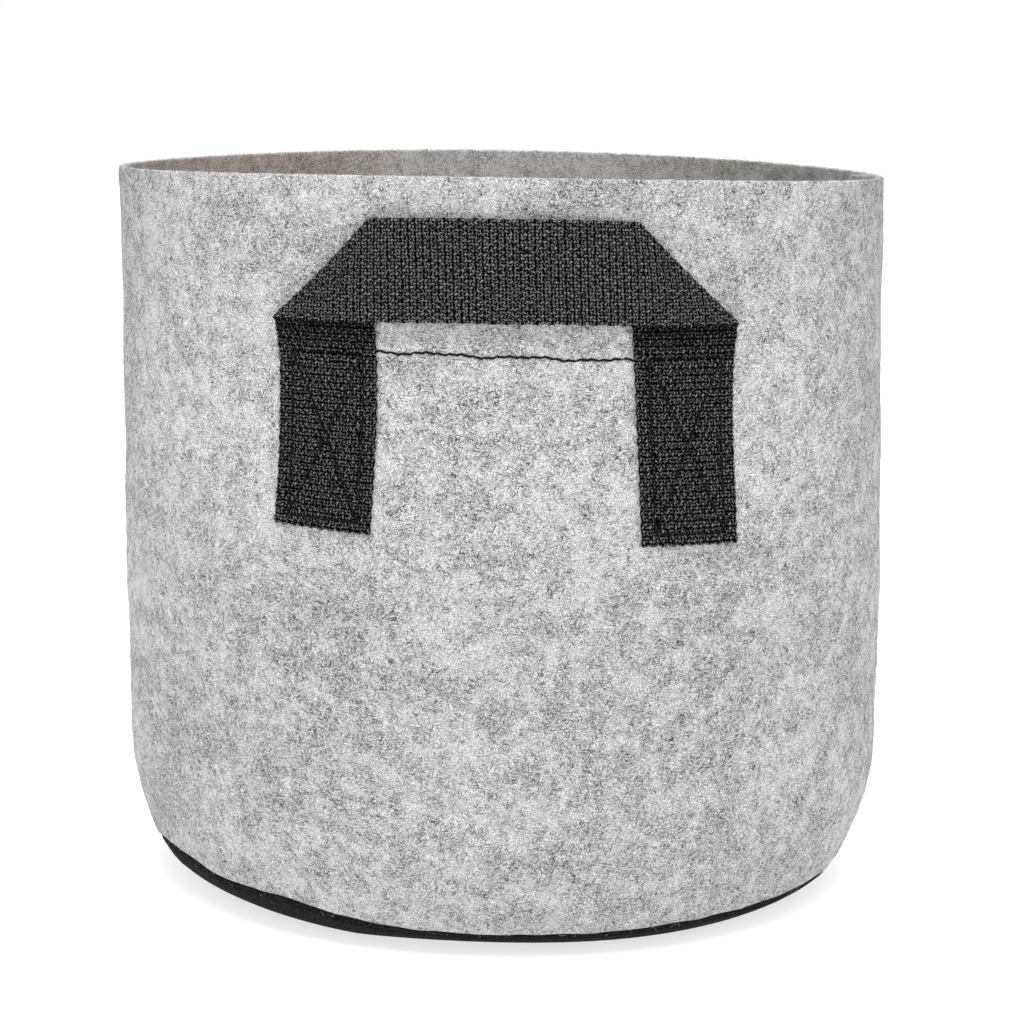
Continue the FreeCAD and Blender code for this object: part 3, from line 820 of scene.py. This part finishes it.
# --- thread and loose fibres --------------------
def tubes(name, paths, reference, radius, sides, material, tip=1.0):
    """Round tubes along paths, an array of lines of points; tip scales the radius at the ends."""
    count, length = paths.shape[:2]
    run = np.gradient(paths, axis=1)
    run /= np.linalg.norm(run, axis=-1, keepdims=True)
    aside = np.cross(run, reference)
    aside /= np.linalg.norm(aside, axis=-1, keepdims=True)
    over = np.cross(aside, run)
    turn = (np.arange(sides) / sides * TAU)[:, None]
    share = np.linspace(0, 1, length)
    size = radius * (tip + (1 - tip) * np.sin(math.pi * share) ** 0.5)[:, None, None]
    ring = np.cos(turn) * aside[:, :, None] + np.sin(turn) * over[:, :, None]
    points = paths[:, :, None] + ring * size
    one = grid_quads(length, sides, wrap=True)
    starts = np.arange(count) * length * sides
    quads = (one[None] + starts[:, None, None]).reshape(-1, 4)
    cap = np.arange(sides)
    caps = np.concatenate([starts[:, None] + cap[::-1], starts[:, None] + (length - 1) * sides + cap])
    travelled = np.concatenate([np.zeros((count, 1)), np.cumsum(
        np.linalg.norm(np.diff(paths, axis=1), axis=-1), axis=1)], axis=1)
    uv = np.stack(np.broadcast_arrays(travelled[:, :, None], turn[:, 0] / TAU), -1)
    faces = [quads, caps] if sides != 4 else np.concatenate([quads, caps])
    return mesh_object(name, points.reshape(-1, 3), faces, material, uv.reshape(-1, 2))


def stitched(corners, step=0.45 * MM, pitch=STITCH):
    """Points along a row of corners, and how deep the stitch dives at each, up to 1 in a hole."""
    corners = np.array(corners, float)
    first, second, deep = [], [], []
    for start, end in zip(corners, corners[1:]):
        length = math.dist(start, end)
        holes = max(1, round(length / pitch))
        count = max(4, round(length / step))
        share = (np.arange(count) + 0.5) / count
        from_hole = abs((share * holes + 0.5) % 1 - 0.5) * length / holes
        first.append(start[0] + (end[0] - start[0]) * share)
        second.append(start[1] + (end[1] - start[1]) * share)
        deep.append(np.exp(-(from_hole / HOLE) ** 2))
    return np.concatenate(first), np.concatenate(second), np.concatenate(deep)


def outward(points):
    """Unit vectors away from the bag's upright axis."""
    out = points * [1, 1, 0]
    return out / np.linalg.norm(out, axis=-1, keepdims=True)


def thread_piece(name, points, radius=THREAD_RADIUS):
    """One thread along points of the soft bag."""
    return tubes(name, points[None], outward(points)[None], radius, 8, THREAD)


def box_thread(name, half, facing, inside):
    """The box and cross sewn through a leg; half is -1 for the left leg, 1 for the right."""
    along, across, deep = stitched(box_stitching())
    angle, z, stand = strap_on_bag(along, across, half, facing)
    over = stand + STRAP / 2 + 0.15 * MM - 0.9 * MM * deep
    under = -FELT - 0.1 * MM + 1.0 * MM * deep
    return thread_piece(name, skin(angle, arc_height(z), under if inside else over), BOX_THREAD_RADIUS)


def cross_thread(name, facing, inside):
    """The row of stitching on the felt that joins the tops of the two boxes."""
    reach = LEG_OUT - STRAP_WIDTH + 1 * MM
    arc, offset, deep = stitched([(-reach, 0), (reach, 0)], step=0.3 * MM, pitch=CROSS_STITCH)
    slant = 0.22 * MM * np.sin(TAU * arc / CROSS_STITCH + 0.6 * np.sin(TAU * arc / CROSS_STITCH))
    s = arc_height(cross_line(arc)) + offset + slant
    angle = facing + (arc + HANDLE_SHIFT) / RADIUS
    over = 0.15 * MM - 0.45 * MM * deep - 0.5 * stitch_dent(angle, s)
    under = -FELT - 0.2 * MM + 1.0 * MM * deep - stitch_dent(angle, s)
    return thread_piece(name, skin(angle, s, under if inside else over), CROSS_THREAD_RADIUS)


def side_seam_thread(name, side):
    """Stitches down one face of the side seam's turned-in edges."""
    low, high = arc_height(ROLL_Z + 2 * MM), RIM - 4 * MM
    s, offset, deep = stitched([(high, 0), (low, 0)])
    lift = -FELT - SIDE_ALLOWANCE / 2 + offset
    aside = side * (FELT + 0.25 * MM - 0.8 * MM * deep)
    points = skin(SIDE_SEAM + aside / (RADIUS + lift), s, lift)
    reference = np.stack([0 * s, 0 * s + side, 0 * s], -1)
    return tubes(name, points[None], reference[None], THREAD_RADIUS, 8, THREAD)


def base_seam_thread(name, side):
    """Stitches round one face of the base seam's turned-in edges."""
    around = TAU * (RADIUS - 15 * MM)
    distance, offset, deep = stitched([(0, 0), (around, 0)])
    angle = SIDE_SEAM + 0.05 + distance / around * (TAU - 0.1)
    s = seam_at(angle) + side * (FELT + 0.3 * MM - 0.8 * MM * deep)
    points = skin(angle, s, -FELT - (BASE_ALLOWANCE - FELT) / 2 + offset)
    return thread_piece(name, points)


def fibres(name, count, place, length, rise, radius, material, seed):
    """Loose fibres of the felt: place gives each one's angle and arc length up the profile."""
    local = np.random.default_rng(seed)
    angle, s, root = place(local, count)
    heading = local.uniform(0, TAU, count)
    bend = local.normal(0, 1.3, count)
    size = length * local.uniform(0.5, 1.4, count)
    top = rise * local.uniform(0.3, 1.3, count)
    t = np.linspace(0, 1, 5)[None, :]
    direction = heading[:, None] + bend[:, None] * t
    across = np.cumsum(np.cos(direction), axis=1) / 5 * size[:, None]
    along = np.cumsum(np.sin(direction), axis=1) / 5 * size[:, None]
    lift = root[:, None] + top[:, None] * np.sin(math.pi * t * local.uniform(0.5, 1.0, count)[:, None])
    s_all = np.clip(s[:, None] + along, FLAT + 3 * MM, RIM + 0.7 * MM)
    points = skin(angle[:, None] + across / RADIUS, s_all, lift)
    reference = local.normal(0, 1, (count, 1, 3)) + 0 * points
    piece = tubes(name, points, reference, radius, 3, material, tip=0.4)
    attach(piece, "bag")
    return piece


def on_wall(local, count):
    """Angle, arc length and lift of fibres anywhere on the wall's outside."""
    angle = local.uniform(0, TAU, count)
    s = local.uniform(FLAT + TURN_UP + 12 * MM, RIM - MM, count)
    return angle, s, local.uniform(-0.08, 0.02, count) * MM


def on_rim(local, count):
    """The same, for fibres on the rim's cut edge."""
    depth = local.uniform(0, 1, count)
    angle = local.uniform(0, TAU, count)
    return angle, RIM - 0.3 * MM + 0 * depth, -FELT * depth


def over_band(local, count):
    """The same, for fibres that hang over the base's black band."""
    angle = local.uniform(0, TAU, count)
    return angle, seam_at(angle) + local.uniform(-0.5, 2.0, count) * MM, 0.05 * MM + 0 * angle


def add_handle(side, facing):
    """One handle with its stitching."""
    strap = handle_piece(side + "_webbing", facing)
    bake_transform(strap)
    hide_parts(side + "_handle_loop", side + "_left_leg", side + "_right_leg")
    for face, inside in (("needle", False), ("bobbin", True)):
        pieces = {"cross": cross_thread(side + "_cross_" + face, facing, inside)}
        for half, leg in ((-1, "left"), (1, "right")):
            pieces[leg + "_box"] = box_thread(f"{side}_{leg}_box_{face}", half, facing, inside)
        for place, piece in pieces.items():
            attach(piece, "bag")
            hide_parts(f"{side}_{place}_{face}_thread")


add_handle("front", FRONT)
add_handle("back", BACK)
for face, side in (("needle", 1), ("bobbin", -1)):
    for seam, make in (("side_seam", side_seam_thread), ("base_seam", base_seam_thread)):
        piece = make(f"{seam}_{face}", side)
        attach(piece, "bag")
        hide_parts(f"{seam}_{face}_thread")
# Name, count, where they lie, length, rise and radius in mm, material and seed.
FIBRES = (("wall_pale_fibres", 3000, on_wall, 4.5, 0.35, 0.045, PALE_FIBRE, 11),
          ("wall_dark_fibres", 2600, on_wall, 4.0, 0.12, 0.05, DARK_FIBRE, 12),
          ("rim_fibres", 1500, on_rim, 1.5, 0.2, 0.03, PALE_FIBRE, 13),
          ("seam_fibres", 110, over_band, 3.0, 0.35, 0.028, PALE_FIBRE, 14))
for name, count, place, length, rise, radius, material, seed in FIBRES:
    fibres(name, count, place, length * MM, rise * MM, radius * MM, material, seed)

# --- camera, floor and light --------------------
CAMERA_DISTANCE = 7 * RADIUS
CAMERA_HEIGHT = 324.0 * MM
CAMERA_PITCH = math.radians(9.645)
CAMERA_ROLL = math.radians(0.68)
CAMERA_ASIDE = 5.55 * MM
LENS = 92.2
KEY_PLACE, KEY_SIZE, KEY_WATTS = (-0.1, -1.1, 1.9), 0.5, 12
TOP_PLACE, TOP_SIZE, TOP_WATTS = (0, 0.1, 2.0), 1.2, 16
FLOOR_HALF = 6.0
FLOOR_GLOW = 0.70               # the floor's own light, so that it stays near white

camera_data = bpy.data.cameras.new("camera")
camera_data.lens = LENS
camera_data.sensor_width = 36.0
camera_data.clip_start = 0.05
camera = bpy.data.objects.new("camera", camera_data)
camera.matrix_world = (Matrix.Translation((CAMERA_ASIDE, -CAMERA_DISTANCE, CAMERA_HEIGHT))
                       @ Matrix.Rotation(math.pi / 2 - CAMERA_PITCH, 4, "X")
                       @ Matrix.Rotation(CAMERA_ROLL, 4, "Z"))
bpy.context.scene.collection.objects.link(camera)
bpy.context.scene.camera = camera


def floor_piece():
    """A plain pale floor, just under the bag."""
    corners = ((-1, -1), (1, -1), (1, 1), (-1, 1))
    points = np.array([[FLOOR_HALF * x, FLOOR_HALF * y, -0.2 * MM] for x, y in corners])
    nodes = Nodes("pale_floor", 0.8)
    nodes.set("Base Color", grey(190))
    nodes.set("Emission Color", (1, 1, 1, 1))
    nodes.set("Emission Strength", FLOOR_GLOW)
    piece = mesh_object("floor", points, np.array([[0, 1, 2, 3]]), nodes.material)
    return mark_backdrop(piece)


def area_light(name, place, aim, size, watts):
    """A square soft light at place, turned towards aim."""
    data = bpy.data.lights.new(name, "AREA")
    data.shape = "SQUARE"
    data.size = size
    data.energy = watts
    light = bpy.data.objects.new(name, data)
    direction = Vector(aim) - Vector(place)
    turned = direction.to_track_quat("-Z", "Y").to_matrix().to_4x4()
    light.matrix_world = Matrix.Translation(place) @ turned
    bpy.context.scene.collection.objects.link(light)


floor_piece()
AIM = (0, 0, HEIGHT / 2)
area_light("key", KEY_PLACE, AIM, KEY_SIZE, KEY_WATTS)
area_light("top", TOP_PLACE, AIM, TOP_SIZE, TOP_WATTS)
world = bpy.data.worlds.new("studio")
world.use_nodes = True
world.node_tree.nodes["Background"].inputs["Color"].default_value = (1, 1, 1, 1)
world.node_tree.nodes["Background"].inputs["Strength"].default_value = 1.0
bpy.context.scene.world = world
bpy.context.scene.view_settings.view_transform = "Standard"
